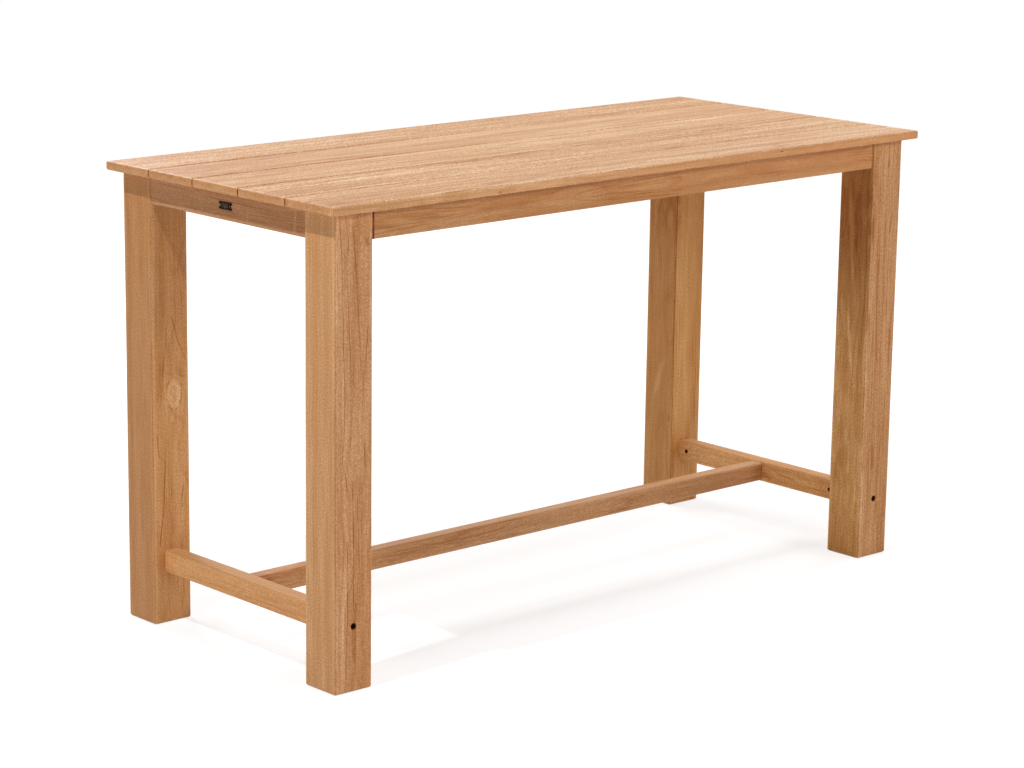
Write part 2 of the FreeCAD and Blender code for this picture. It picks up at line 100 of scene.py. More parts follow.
def mark_on(tree, along, across, depth, mark):
    """A streak on one face that follows points given along and across the grain."""
    start, end = mark["points"][0][0], mark["points"][-1][0]
    reach = max(abs(off) for at, off in mark["points"]) + 0.001
    curve = tree.nodes.new("ShaderNodeFloatCurve")
    places = curve.mapping.curves[0].points
    while len(places) < len(mark["points"]):
        places.new(0.5, 0.5)
    for place, (at, off) in zip(places, mark["points"]):
        place.location = ((at - start) / (end - start), 0.5 + off / reach / 2)
    curve.mapping.update()
    tree.links.new(spread(tree, along, start, end, kind="LINEAR"), curve.inputs["Value"])
    line = calc(tree, "MULTIPLY_ADD", curve.outputs[0], 2 * reach, -reach)
    off = calc(tree, "ABSOLUTE", calc(tree, "SUBTRACT", across, line))
    core = mark.get("core", 0.2)
    line = spread(tree, off, mark["width"] * core, mark["width"], 1.0, 0.0)
    fade = mark.get("fade", 0.25) * (end - start)
    line = calc(tree, "MULTIPLY", line, spread(tree, along, start, start + fade))
    line = calc(tree, "MULTIPLY", line, spread(tree, along, end - fade, end, 1.0, 0.0))
    below = calc(tree, "ABSOLUTE", calc(tree, "SUBTRACT", depth, mark["face"]))
    line = calc(tree, "MULTIPLY", line, spread(tree, below, 0.004, 0.02, 1.0, 0.0))
    return calc(tree, "MULTIPLY", line, mark["dark"])


# The rim of a healed branch, the strength of fibres and sawn ends, the painted shade in holes, and how
# fast red, green and blue fall from the stop of the plain colour.
RIM_HEIGHT, RIM_WIDTH = 0.42, 0.09
FIBRE_SHARE, END_CALM, BORE_SHADE_STRENGTH = 0.4, 0.65, 1.6
PLAIN_STOP, FALL_RATES = 0.3, (1.0, 1.75, 2.95)

# Common teak. Each piece changes what differs on it.
TEAK = {
    "lean": (0.0, 0.0),
    "ring": 0.008,
    "wander": 0.004,
    "figure": 0.2,
    "lines": 0.16,
    "hairs": 0.22,
    "streaks": 0.3,
    "cloud": 0.16,
    "fuzz": 0.75,
    "plain": 0.0,
    "calm": 0.0,
    "arris": 0.0,
    "ends": (0.95, 0.93, 0.90),
    "above": (1.0, 1.0, 1.0),
    "turned": (1.0, 1.0, 1.0),
    "gloss": 0.2,
    "long": 1.0,
    "eyes": (),
    "marks": (),
    "bores": (),
}


def teak(name, grain, middle, colour, pith, seed, **changes):
    """Planed and oiled teak, cut from a log whose pith runs beside the piece.

    grain is the axis that the grain follows. pith is the place of the log's centre across
    the grain, from the piece's middle, and lean how far it drifts per metre. The log's rings
    then show on each face as a real saw cut would bare them. plain is how much of the fine
    figure the sideways faces lack, and calm how much of all their pattern. arris is half the
    side of a square piece whose arrises are rubbed paler, partly wear and partly a painted
    highlight, beside a thin line of painted shade. ends tints the sawn ends. above and turned
    tint the upper and the sideways faces with painted sheen and shade, for how the lamps fall
    on them. figure, lines, hairs, streaks, cloud and fuzz are how strong each pattern is, from
    the rings down to the pores, and long draws the finer ones out. eyes are healed branches,
    marks are streaks, some of them broad bands of painted shade and light, and bores are holes
    whose walls are painted with shade.
    """
    look = {**TEAK, **changes}
    material = bpy.data.materials.new(name)
    material.use_nodes = True
    tree = material.node_tree
    shader = tree.nodes["Principled BSDF"]

    node(tree, "ShaderNodeTexCoord")
    coordinates = tree.nodes[-1].outputs
    inputs = {0: coordinates["Object"], 1: middle}
    place = node(tree, "ShaderNodeVectorMath", inputs, operation="SUBTRACT")
    node(tree, "ShaderNodeSeparateXYZ", {0: place})
    parts = tree.nodes[-1].outputs
    along = parts[grain]
    flat = [parts[axis] for axis in range(3) if axis != grain]

    # The grain wanders slowly from side to side along the piece.
    slow = node(
        tree,
        "ShaderNodeCombineXYZ",
        {
            0: calc(tree, "MULTIPLY_ADD", flat[0], DRIFT[0], seed),
            1: calc(tree, "MULTIPLY_ADD", flat[1], DRIFT[0], seed),
            2: calc(tree, "MULTIPLY_ADD", along, DRIFT[1], seed),
        },
    )
    node(tree, "ShaderNodeTexNoise", {"Vector": slow, "Scale": 1.0, "Detail": 3.0})
    node(tree, "ShaderNodeSeparateXYZ", {0: tree.nodes[-1].outputs["Color"]})
    drift = tree.nodes[-1].outputs
    across = [
        calc(tree, "ADD", part, around(tree, shift, 6 * look["wander"]))
        for part, shift in zip(flat, drift)
    ]

    # A healed branch pushes the grain round itself, and has a thin dark rim round a pale heart.
    push = rim = 0.0
    for eye in look["eyes"]:
        rough = stretched_noise(tree, flat, along, EYE_OUTLINE, seed + 4)
        far = around(tree, rough, 0.9)
        for value, at, size in zip((along, *across), eye["at"], eye["size"]):
            span = calc(tree, "DIVIDE", calc(tree, "SUBTRACT", value, at), size)
            far = calc(tree, "MULTIPLY_ADD", span, span, far)
        bulge = calc(tree, "EXPONENT", calc(tree, "MULTIPLY", far, -1.0))
        push = calc(tree, "MULTIPLY_ADD", bulge, eye["push"], push)
        edge = calc(tree, "ABSOLUTE", calc(tree, "SUBTRACT", bulge, RIM_HEIGHT))
        edge = spread(tree, edge, 0.0, RIM_WIDTH, 1.0, 0.0)
        broken = spread(tree, stretched_noise(tree, flat, along, EYE_RIM, seed + 8), 0.42, 0.6)
        edge = calc(tree, "MULTIPLY", calc(tree, "MULTIPLY", edge, broken), eye["dark"])
        heart = spread(tree, bulge, RIM_HEIGHT, 0.7, 0.0, eye["pale"])
        rim = calc(tree, "ADD", calc(tree, "SUBTRACT", edge, heart), rim)

    squares = 0.0
    for side in range(2):
        shifted = calc(tree, "MULTIPLY_ADD", along, -look["lean"][side], -pith[side])
        shifted = calc(tree, "ADD", shifted, across[side])
        squares = calc(tree, "MULTIPLY_ADD", shifted, shifted, squares)
    radius = calc(tree, "ADD", calc(tree, "SQRT", squares), push)

    # Rings, thin late-wood lines, short hairs and soft streaks come and go along the piece.
    node(tree, "ShaderNodeSeparateXYZ", {0: coordinates["Normal"]})
    facings = tree.nodes[-1].outputs
    sideways = spread(tree, calc(tree, "ABSOLUTE", facings[0 if grain else 1]), 0.6, 0.9)
    long = look["long"]
    patch = stretched_noise(tree, across, along, PATCH, seed + 1, detail=1.0, long=long)
    patch = spread(tree, patch, 0.36, 0.62)
    patch = calc(tree, "MULTIPLY", patch, calc(tree, "MULTIPLY_ADD", sideways, -look["plain"], 1.0))
    broad = ring_noise(tree, radius, 1 / look["ring"], seed, 1.0)
    late = calc(tree, "MULTIPLY", ring_noise(tree, radius, 0.5 / look["ring"], seed + 9, 0.0), 8.0)
    late = spread(tree, calc(tree, "PINGPONG", late, 0.5), 0.3, 0.5)
    hair = stretched_noise(tree, across, along, HAIR, seed + 2, detail=1.0, long=long)
    hair = calc(tree, "MULTIPLY", spread(tree, hair, 0.58, 0.74), patch)
    streaks = stretched_noise(tree, across, along, STREAK, seed + 3, detail=1.0, long=long)
    cloud = stretched_noise(tree, across, along, CLOUD, seed + 7, detail=1.0, long=long)
    fibre = stretched_noise(tree, flat, along, FIBRE, seed + 5, detail=1.0, long=long)
    speck = stretched_noise(tree, flat, along, SPECK, seed + 6, detail=1.0)
    shown = calc(tree, "MULTIPLY_ADD", patch, 0.8, 0.4)
    value = calc(tree, "MULTIPLY", around(tree, broad, look["figure"]), shown)
    value = calc(tree, "MULTIPLY_ADD", calc(tree, "MULTIPLY", late, patch), look["lines"], value)
    value = calc(tree, "MULTIPLY_ADD", hair, look["hairs"], value)
    for noise, amount in (
        (streaks, look["streaks"]),
        (cloud, look["cloud"]),
        (fibre, look["fuzz"] * FIBRE_SHARE),
        (speck, look["fuzz"]),
    ):
        value = calc(tree, "ADD", value, around(tree, noise, amount))
    if look["eyes"]:
        value = calc(tree, "ADD", value, rim)

    # Sawn ends show less figure.
    facing = spread(tree, calc(tree, "ABSOLUTE", facings[grain]), 0.6, 0.9)
    fainter = calc(tree, "MULTIPLY_ADD", facing, -END_CALM, 1.0)
    fainter = calc(tree, "MULTIPLY_ADD", sideways, -look["calm"], fainter)
    value = calc(tree, "MULTIPLY", value, fainter)

    # Arrises are rubbed paler on both sides of a thin dark line. The pale bands are partly wear and
    # partly a painted highlight, and the dark line is painted shade on the rounded arris.
    if look["arris"]:
        sides = [calc(tree, "ABSOLUTE", part) for part in flat]
        inside = calc(tree, "SUBTRACT", look["arris"], calc(tree, "MINIMUM", *sides))
        value = calc(tree, "ADD", value, spread(tree, inside, 0.004, 0.010, -0.07, 0.0))
        value = calc(tree, "ADD", value, spread(tree, inside, 0.001, 0.003, 0.22, 0.0))

    # Marks are uneven in strength, and bend a little with the grain.
    uneven = spread(tree, stretched_noise(tree, flat, along, MARK, seed + 11), 0.36, 0.6, 0.5, 1.2)
    for mark in look["marks"]:
        side = mark["side"]
        bent = calc(tree, "ADD", flat[side], around(tree, drift[side], 0.006))
        line = mark_on(tree, along, bent, flat[1 - side], mark)
        value = calc(tree, "MULTIPLY_ADD", line, uneven, value)
    # Painted shade: each bore is darkened for its first few centimetres in from the face it opens in.
    for bore in look["bores"]:
        beside = calc(tree, "SUBTRACT", flat[bore["side"]], bore["at"][1])
        above = calc(tree, "SUBTRACT", along, bore["at"][0])
        far = calc(tree, "MULTIPLY_ADD", beside, beside, calc(tree, "MULTIPLY", above, above))
        far = calc(tree, "SQRT", far)
        bore_shade = spread(tree, far, bore["radius"] + 0.0002, bore["radius"] + 0.0006, BORE_SHADE_STRENGTH, 0.0)
        below = calc(tree, "ABSOLUTE", calc(tree, "SUBTRACT", flat[1 - bore["side"]], bore["face"]))
        value = calc(tree, "MULTIPLY_ADD", bore_shade, spread(tree, below, 0.02, 0.035, 1.0, 0.0), value)

    # Darker wood is also redder: green and blue fall faster than red.
    ramp = tree.nodes.new("ShaderNodeValToRGB")
    tree.links.new(calc(tree, "MULTIPLY_ADD", value, 0.5, PLAIN_STOP), ramp.inputs[0])
    stops = ramp.color_ramp.elements
    for place in (0.15, PLAIN_STOP, 0.45, 0.65):
        stops.new(place)
    for stop in stops:
        fall = 2 * (stop.position - PLAIN_STOP)
        stop.color = [base * math.exp(-fall * rate) for base, rate in zip(colour, FALL_RATES)] + [1]
    tinted = ramp.outputs[0]
    # Painted sheen and shade: the upper and the sideways faces are tinted for how the lamps fall on
    # them. The sawn ends get a tint of their own.
    upper_painted_light = spread(tree, facings[2], 0.3, 0.9)
    for share, tint in ((facing, look["ends"]), (upper_painted_light, look["above"]), (sideways, look["turned"])):
        inputs = {0: share, 1: tinted, 2: (*tint, 1.0)}
        tinted = node(tree, "ShaderNodeMixRGB", inputs, blend_type="MULTIPLY")
    tree.links.new(tinted, shader.inputs["Base Color"])
    tree.links.new(calc(tree, "ADD", around(tree, streaks, 0.16), 0.5), shader.inputs["Roughness"])
    shader.inputs["Specular IOR Level"].default_value = look["gloss"]
    height = calc(tree, "SUBTRACT", calc(tree, "MULTIPLY", speck, 0.5), value)
    node(tree, "ShaderNodeBump", {"Height": height, "Strength": 0.3, "Distance": 0.0006})
    tree.links.new(tree.nodes[-1].outputs[0], shader.inputs["Normal"])
    return material


def finish_with(piece, material):
    piece.data.materials.clear()
    piece.data.materials.append(material)


BOARD_WIDTH, BOARD_GAP = 0.1568, 0.004
TOP_MIDDLE, TOP_HALF = 1.04, 0.01


def edge_mark(points, width, dark, core=0.2, fade=0.25):
    """A small knot or a long change of tone in the front edge of the foremost board."""
    return {
        "points": points,
        "side": 1,
        "face": -BOARD_WIDTH / 2,
        "width": width,
        "dark": dark,
        "core": core,
        "fade": fade,
    }


def band(points, width, dark):
    """A long streak on the upper face of a board."""
    return {"points": points, "side": 0, "face": TOP_HALF, "width": width, "dark": dark, "fade": 0.3}


# Painted shade: the left end of each board's upper face is a little darker, to even out the stronger
# lamp light there.
left_end_painted_shade = {**band(((-1.2, 0.0), (-0.9, 0.0), (-0.45, 0.0)), 0.2, 0.15), "core": 0.9, "fade": 0.6}
for index, (colour, pith_y, marks) in enumerate(
    (
        (
            (0.623, 0.288, 0.103), -0.03,
            (
                edge_mark(((0.417, 0.0015), (0.424, 0.0025), (0.431, 0.001)), 0.0025, 0.5),
                edge_mark(((-0.451, -0.007), (-0.4455, -0.0045), (-0.440, -0.007)), 0.003, 0.5),
                edge_mark(((-1.3, 0.0), (-0.4, 0.0), (0.1, 0.0)), 0.03, -0.15, core=0.9, fade=0.4),
                edge_mark(((-0.1, 0.0), (0.4, 0.0), (1.3, 0.0)), 0.03, 0.09, core=0.9, fade=0.4),
                band(((-0.88, -0.012), (-0.75, -0.006), (-0.60, -0.014)), 0.007, 0.08),
                band(((0.10, -0.004), (0.32, -0.008), (0.52, -0.004)), 0.010, 0.07),
                band(((0.40, 0.020), (0.50, 0.012), (0.62, 0.016)), 0.006, -0.08),
            ),
        ),
        (
            (0.623, 0.288, 0.103), 0.05,
            (
                band(((-1.0, -0.055), (-0.70, -0.052), (-0.40, -0.060)), 0.020, 0.15),
                band(((-0.40, -0.064), (0.00, -0.058), (0.50, -0.060)), 0.016, 0.08),
                band(((0.24, -0.062), (0.36, -0.040), (0.50, -0.052)), 0.010, 0.11),
                band(((-0.95, 0.068), (-0.30, 0.066), (0.30, 0.069)), 0.007, 0.10),
                band(((-0.90, 0.010), (-0.55, 0.016), (-0.20, 0.008)), 0.012, -0.08),
            ),
        ),
        (
            (0.618, 0.286, 0.102), 0.02,
            (
                band(((-0.34, -0.012), (-0.24, -0.014), (-0.16, -0.010)), 0.006, 0.15),
                band(((-0.95, 0.022), (-0.80, 0.018), (-0.62, 0.024)), 0.005, 0.13),
                band(((-0.10, -0.062), (0.20, -0.066), (0.45, -0.058)), 0.010, 0.10),
                band(((0.35, 0.030), (0.55, 0.036), (0.80, 0.048)), 0.009, -0.10),
                band(((-0.20, 0.055), (0.00, 0.048), (0.20, 0.052)), 0.008, -0.08),
            ),
        ),
        (
            (0.612, 0.283, 0.102), -0.06,
            (
                band(((0.30, -0.030), (0.55, -0.040), (1.00, -0.034)), 0.026, 0.11),
                band(((-0.24, -0.010), (-0.18, -0.006), (-0.13, -0.012)), 0.007, 0.18),
                band(((0.02, -0.020), (0.10, -0.026), (0.20, -0.018)), 0.007, 0.14),
                band(((-0.52, -0.066), (-0.46, -0.056), (-0.40, -0.060)), 0.007, 0.18),
                band(((-1.0, -0.010), (-0.85, -0.004), (-0.70, -0.012)), 0.014, 0.10),
                band(((-0.40, 0.030), (-0.10, 0.024), (0.15, 0.032)), 0.014, -0.10),
            ),
        ),
        (
            (0.612, 0.283, 0.102), 0.04,
            (
                band(((0.60, 0.036), (0.75, 0.042), (1.00, 0.034)), 0.018, 0.13),
                band(((-0.95, -0.068), (-0.40, -0.072), (0.10, -0.069)), 0.008, 0.11),
                band(((0.05, -0.060), (0.22, -0.066), (0.38, -0.060)), 0.010, 0.10),
                band(((-0.50, 0.020), (-0.30, 0.012), (-0.10, 0.022)), 0.012, -0.08),
                band(((0.38, -0.028), (0.50, -0.034), (0.62, -0.026)), 0.007, -0.11),
            ),
        ),
    )
):
    middle_y = (index - 2) * (BOARD_WIDTH + BOARD_GAP)
    finish_with(
        nodes[f"top_board_{index + 1}"],
        teak(
            f"Oiled teak of board {index + 1}",
            0,
            (0.0, middle_y, TOP_MIDDLE),
            colour,
            (pith_y, -0.12),
            11.0 * index + 2,
            lean=(0.01, 0.006 * (index - 2)),
            long=2.0,
            streaks=0.5,
            cloud=0.3,
            hairs=0.6,
            lines=0.24,
            fuzz=1.8,
            calm=0.65,
            ends=(0.93, 1.0, 1.12),
            # Painted shade and sheen: the upper faces are tinted darker and less red than the edges.
            above=(0.765, 0.866, 0.965),
            gloss=0.3,
            marks=(*marks, left_end_painted_shade),
        ),
    )

# Battens and cleats
# Three flat battens are let into the long aprons, and a cleat runs along each end apron.
# They are plain sawn teak. Screws through them hold the boards from below.
BATTEN_X, CLEAT_X, BATTEN_MIDDLE = 0.412, 0.8285, 1.02
INNER_TEAK = (0.52, 0.24, 0.09)
for name, middle_x in (
    ("batten_left", -BATTEN_X),
    ("batten_middle", 0.0),
    ("batten_right", BATTEN_X),
    ("end_cleat_left", -CLEAT_X),
    ("end_cleat_right", CLEAT_X),
):
    seed = 40 + middle_x * 7
    middle = (middle_x, 0.0, BATTEN_MIDDLE)
    finish_with(
        nodes[name], teak(f"Teak of {name}", 1, middle, INNER_TEAK, (0.03, 0.09), seed, figure=0.35)
    )

# Legs
# Four square teak legs, planed all round, with rounded arrises.
# A hole near the foot takes a sunk bolt. Each leg has its own figure.
LEG_X, LEG_Y, LEG_MIDDLE, LEG_HALF = 0.824, 0.324, 0.515, 0.05
leg_bore = {"side": 0, "at": (0.145 - LEG_MIDDLE, 0.0), "radius": 0.007, "face": -LEG_HALF}
back_bore = {**leg_bore, "face": LEG_HALF}


def streak(side, points, width, dark, face=-LEG_HALF, core=0.2, fade=0.25):
    """One mark on a face: side 0 lies across the front of a leg, and side 1 across its end."""
    return {
        "points": points,
        "side": side,
        "face": face,
        "width": width,
        "dark": dark,
        "core": core,
        "fade": fade,
    }


finish_with(
    nodes["leg_front_left"],
    teak(
        "Teak of the front left leg",
        2,
        (-LEG_X, -LEG_Y, LEG_MIDDLE),
        (0.652, 0.316, 0.132),
        (0.02, 0.13),
        3.0,
        plain=0.6,
        arris=LEG_HALF,
        # Painted shade: the faces that look left and right are tinted darker.
        turned=(0.921, 0.944, 0.874),
        hairs=0.26,
        streaks=0.25,
        bores=(leg_bore,),
        marks=(
            streak(
                0,
                ((0.155, 0.021), (0.227, 0.017), (0.345, 0.009), (0.438, 0.001), (0.52, -0.010)),
                0.0018, 0.3, fade=0.1,
            ),
            streak(
                0,
                (
                    (0.000, -0.012), (0.041, -0.008), (0.113, -0.0055), (0.180, -0.008),
                    (0.309, -0.0145), (0.391, -0.0175),
                ),
                0.0018, 0.34, fade=0.1,
            ),
            streak(
                0,
                (
                    (-0.113, -0.010), (-0.067, -0.0175), (-0.031, -0.0235), (-0.010, -0.030),
                    (0.031, -0.027), (0.113, -0.0245), (0.216, -0.027), (0.361, -0.031),
                    (0.52, -0.039),
                ),
                0.0018, 0.3, fade=0.05,
            ),
            streak(0, ((0.30, -0.041), (0.40, -0.044), (0.50, -0.046)), 0.0016, 0.2),
            streak(0, ((0.155, 0.026), (0.227, 0.0345), (0.283, 0.0385)), 0.0022, 0.36, fade=0.2),
            streak(0, ((-0.52, 0.049), (0.0, 0.047), (0.30, 0.050)), 0.007, 0.16, fade=0.2),
            streak(0, ((0.440, 0.037), (0.455, 0.033), (0.462, 0.031)), 0.006, 0.3),
            streak(0, ((-0.027, 0.0325), (0.0, 0.031), (0.028, 0.0315)), 0.0022, 0.5, fade=0.1),
            streak(
                0,
                ((-0.026, 0.002), (-0.019, 0.010), (-0.010, 0.018), (-0.004, 0.026)),
                0.0016, 0.4, fade=0.1,
            ),
            streak(
                0,
                ((-0.51, -0.003), (-0.257, -0.0005), (-0.103, -0.0015), (-0.031, -0.008)),
                0.0022, 0.3, fade=0.1,
            ),
            streak(0, ((-0.49, 0.0045), (-0.40, 0.004), (-0.30, 0.005)), 0.0045, 0.22, fade=0.2),
            streak(
                0,
                ((-0.505, -0.022), (-0.36, -0.0175), (-0.257, -0.0157), (-0.17, -0.017)),
                0.002, 0.36, fade=0.15,
            ),
            # Painted shade: the middle of the front face is a little darker in its lower half.
            streak(
                0,
                ((-0.53, 0.006), (-0.3, 0.006), (-0.035, 0.002)),
                0.026, 0.09, core=0.8, fade=0.06,
            ),
            streak(0, ((-0.15, 0.010), (-0.12, 0.0105), (-0.09, 0.010)), 0.002, 0.26),
        ),
    ),
)
finish_with(
    nodes["leg_front_right"],
    teak(
        "Teak of the front right leg",
        2,
        (LEG_X, -LEG_Y, LEG_MIDDLE),
        (0.499, 0.231, 0.083),
        (0.14, 0.03),
        8.0,
        plain=0.5,
        arris=LEG_HALF,
        # Painted shade: the faces that look left and right are tinted darker and redder.
        turned=(1.012, 0.98, 0.725),
        figure=0.4,
        lines=0.34,
        hairs=0.42,
        fuzz=1.0,
        bores=(leg_bore,),
        marks=(
            # Painted shade: the inner face darkens towards the top, under the table.
            streak(1, ((0.12, -0.004), (0.26, 0.006), (0.56, 0.002)), 0.08, 0.6, core=0.9, fade=0.75),
            streak(1, ((0.10, -0.036), (0.26, -0.030), (0.46, -0.026)), 0.010, -0.16),
            # Painted light: the lower part of the inner face is paler.
            streak(1, ((-0.60, 0.0), (-0.2, 0.0), (0.25, 0.0)), 0.08, -0.17, core=0.9, fade=0.3),
            streak(1, ((0.13, -0.002), (0.232, 0.0055), (0.309, 0.013), (0.42, 0.022)), 0.008, -0.28),
            streak(
                1,
                ((-0.051, -0.004), (0.041, 0.004), (0.093, 0.0105), (0.155, 0.020)),
                0.007, -0.22,
            ),
            streak(1, ((-0.43, -0.0345), (-0.36, -0.031), (-0.30, -0.036)), 0.006, -0.1),
            streak(0, ((0.28, 0.019), (0.31, 0.022), (0.345, 0.031)), 0.006, 0.22),
            streak(
                0,
                ((-0.05, -0.009), (0.0, -0.0105), (0.093, -0.017), (0.34, -0.021)),
                0.003, 0.2, fade=0.1,
            ),
            streak(0, ((-0.06, 0.033), (0.0, 0.0345), (0.113, 0.0385)), 0.005, 0.26, fade=0.2),
            streak(0, ((-0.283, 0.028), (-0.18, 0.024), (-0.093, 0.0295)), 0.004, 0.18),
            streak(
                0,
                (
                    (-0.51, 0.0215), (-0.438, 0.018), (-0.36, 0.0125), (-0.329, 0.010),
                    (-0.257, 0.014), (-0.175, 0.0215),
                ),
                0.0028, 0.2, fade=0.1,
            ),
            streak(0, ((-0.077, 0.006), (-0.026, 0.0035), (0.021, 0.001)), 0.003, 0.2),
            streak(0, ((-0.36, -0.022), (-0.283, -0.0235), (-0.185, -0.0247)), 0.0022, 0.24),
            streak(0, ((0.446, 0.004), (0.458, 0.007), (0.472, 0.005)), 0.005, 0.3),
        ),
    ),
)
finish_with(
    nodes["leg_back_right"],
    teak(
        "Teak of the back right leg",
        2,
        (LEG_X, LEG_Y, LEG_MIDDLE),
        (0.569, 0.277, 0.086),
        (0.15, -0.02),
        14.0,
        plain=0.4,
        arris=LEG_HALF,
        # Painted shade: the faces that look left and right are tinted darker.
        turned=(0.92, 0.89, 0.84),
        bores=(back_bore,),
        marks=(
            # Painted shade: both inner faces darken towards the top, under the table.
            streak(1, ((0.10, 0.0), (0.26, 0.0), (0.60, 0.0)), 0.08, 0.4, core=0.9, fade=0.6),
            streak(0, ((0.10, 0.0), (0.26, 0.0), (0.60, 0.0)), 0.08, 0.2, core=0.9, fade=0.6),
            streak(1, ((-0.265, -0.044), (0.0, -0.046), (0.295, -0.044)), 0.004, 0.2),
            streak(1, ((-0.245, 0.014), (-0.18, 0.002), (-0.115, -0.020)), 0.012, -0.13),
            streak(1, ((-0.292, -0.040), (-0.282, -0.037), (-0.272, -0.040)), 0.005, 0.5),
        ),
    ),
)
finish_with(
    nodes["leg_back_left"],
    teak(
        "Teak of the back left leg",
        2,
        (-LEG_X, LEG_Y, LEG_MIDDLE),
        (0.614, 0.307, 0.114),
        (0.01, 0.12),
        21.0,
        plain=0.4,
        arris=LEG_HALF,
        # Painted shade: the faces that look left and right are tinted darker.
        turned=(0.78, 0.70, 0.63),
        streaks=0.22,
        cloud=0.1,
        figure=0.14,
        lines=0.1,
        bores=(back_bore,),
        eyes=(
            {
                "at": (0.0155, 0.009, -0.05),
                "size": (0.040, 0.023, 0.03),
                "push": 0.012,
                "dark": 0.34,
                "pale": 0.12,
            },
        ),
        marks=(
            streak(
                0,
                ((0.088, 0.041), (0.113, 0.032), (0.134, 0.0215), (0.165, 0.0125), (0.195, 0.0035)),
                0.0022, 0.34, fade=0.08,
            ),
            streak(
                0,
                ((0.052, -0.022), (0.093, -0.0175), (0.134, -0.013), (0.175, -0.009), (0.195, 0.001)),
                0.0022, 0.3, fade=0.08,
            ),
            streak(0, ((0.050, 0.034), (0.058, 0.024), (0.061, 0.015)), 0.0028, 0.6),
            streak(
                0,
                (
                    (-0.005, -0.012), (-0.015, -0.004), (-0.026, 0.009), (-0.021, 0.0165),
                    (0.0, 0.0295),
                )[::-1],
                0.002, 0.4, fade=0.06,
            ),
            streak(0, ((-0.052, 0.004), (-0.041, 0.004), (-0.030, 0.003)), 0.008, -0.12),
            streak(
                0,
                (
                    (-0.340, -0.035), (-0.299, -0.030), (-0.257, -0.0235), (-0.206, -0.0196),
                    (-0.170, -0.0175), (-0.149, -0.0165), (-0.136, -0.0183), (-0.129, -0.027),
                    (-0.118, -0.034), (-0.067, -0.036),
                ),
                0.0022,
                0.42,
                fade=0.06,
            ),
            streak(0, ((-0.257, 0.032), (-0.227, 0.0294), (-0.190, 0.037)), 0.0028, 0.3),
            streak(0, ((0.206, 0.032), (0.247, 0.0294), (0.309, 0.0237)), 0.0022, 0.26),
            streak(0, ((0.345, 0.0305), (0.39, 0.0294), (0.43, 0.0294)), 0.0022, 0.22),
            streak(0, ((0.10, -0.0415), (0.227, -0.036), (0.50, -0.036)), 0.0016, 0.2, fade=0.1),
            streak(0, ((0.08, -0.028), (0.20, -0.022), (0.45, -0.018)), 0.014, 0.12),
            streak(0, ((-0.02, -0.036), (0.04, -0.028), (0.12, -0.030)), 0.014, 0.14),
        ),
    ),
)

# Aprons
# Two long and two end boards of redder teak join the legs just below the top.
# Each is set a little behind the legs' outer faces.
LONG_APRON_Y, END_APRON_X = 0.3585, 0.8585
APRON_MIDDLE, APRON_HALF, APRON_END = 0.9985, 0.0125, 0.774

# Where each loop starts, how far it reaches and half its height.
LOOPS = ((0.0, 0.34, 0.024), (0.05, 0.30, 0.015), (0.10, 0.2, 0.008))


def loops(tip, way, middle, dark):
    """Nested loops of the grain, as where a board is cut across the log's swelling."""
    made = []
    for step, (start, reach, height) in enumerate(LOOPS):
        for half in (1, -1):
            points = [
                (tip + way * (start + reach * part), middle + half * height * part**0.45)
                for part in (0.0, 0.03, 0.1, 0.3, 0.6, 1.0)
            ]
            points = tuple(points[::way])
            made.append(streak(1, points, 0.0028, dark * (1 - 0.2 * step), face=-APRON_HALF, fade=0.06))
    return tuple(made)


def joint_gap_shade(end, wide, dark):
    """The dark joint between the apron and a leg, partly a dark gap and partly painted shade from the
    leg.
    """
    inner, outer = sorted((end, end - math.copysign(wide, end)))
    return streak(1, ((inner, 0.0), (outer, 0.0)), 0.06, dark, face=-APRON_HALF, core=0.95, fade=0.02)


for name, grain, middle, colour, pith, seed, changes in (
    (
        "long_apron_front", 0, (0.0, -LONG_APRON_Y, APRON_MIDDLE),
        (0.525, 0.236, 0.082), (0.075, 0.004), 31.0,
        {
            "fuzz": 0.5,
            "marks": (
                *loops(-0.488, -1, 0.001, 0.16),
                *loops(-0.21, 1, -0.002, 0.18),
                *loops(0.70, 1, 0.0, 0.14),
                joint_gap_shade(-APRON_END, 0.0065, 1.6),
                joint_gap_shade(APRON_END, 0.0035, 0.3),
                streak(
                    1,
                    ((-1.1, 0.0), (-0.7, 0.0), (-0.3, 0.0)),
                    0.08, -0.13, face=-APRON_HALF, core=0.9, fade=0.5,
                ),
            ),
        },
    ),
    (
        "long_apron_back", 0, (0.0, LONG_APRON_Y, APRON_MIDDLE),
        (0.525, 0.236, 0.082), (-0.07, -0.004), 37.0,
        {},
    ),
    (
        "end_apron_left", 1, (-END_APRON_X, 0.0, APRON_MIDDLE),
        (0.467, 0.218, 0.087), (0.1, 0.12), 43.0,
        {"hairs": 0.3},
    ),
    (
        "end_apron_right", 1, (END_APRON_X, 0.0, APRON_MIDDLE),
        (0.475, 0.214, 0.084), (0.1, -0.1), 47.0,
        {},
    ),
):
    finish_with(nodes[name], teak(f"Teak of {name}", grain, middle, colour, pith, seed, **changes))

# Corner braces
# Four short teak blocks lie across the inner corners of the frame.
# Their tongues sit in the aprons, and a hanger bolt draws each leg against them.
BRACE_X, BRACE_Y, BRACE_MIDDLE = 0.76, 0.26, 0.988
for corner, side_x, side_y in (
    ("front_left", -1, -1),
    ("front_right", 1, -1),
    ("back_right", 1, 1),
    ("back_left", -1, 1),
):
    finish_with(
        nodes[f"corner_brace_{corner}"],
        teak(
            f"Teak of brace {corner}",
            0,
            (side_x * BRACE_X, side_y * BRACE_Y, BRACE_MIDDLE),
            INNER_TEAK,
            (0.05, 0.06),
            95 + side_x + 2 * side_y,
        ),
    )

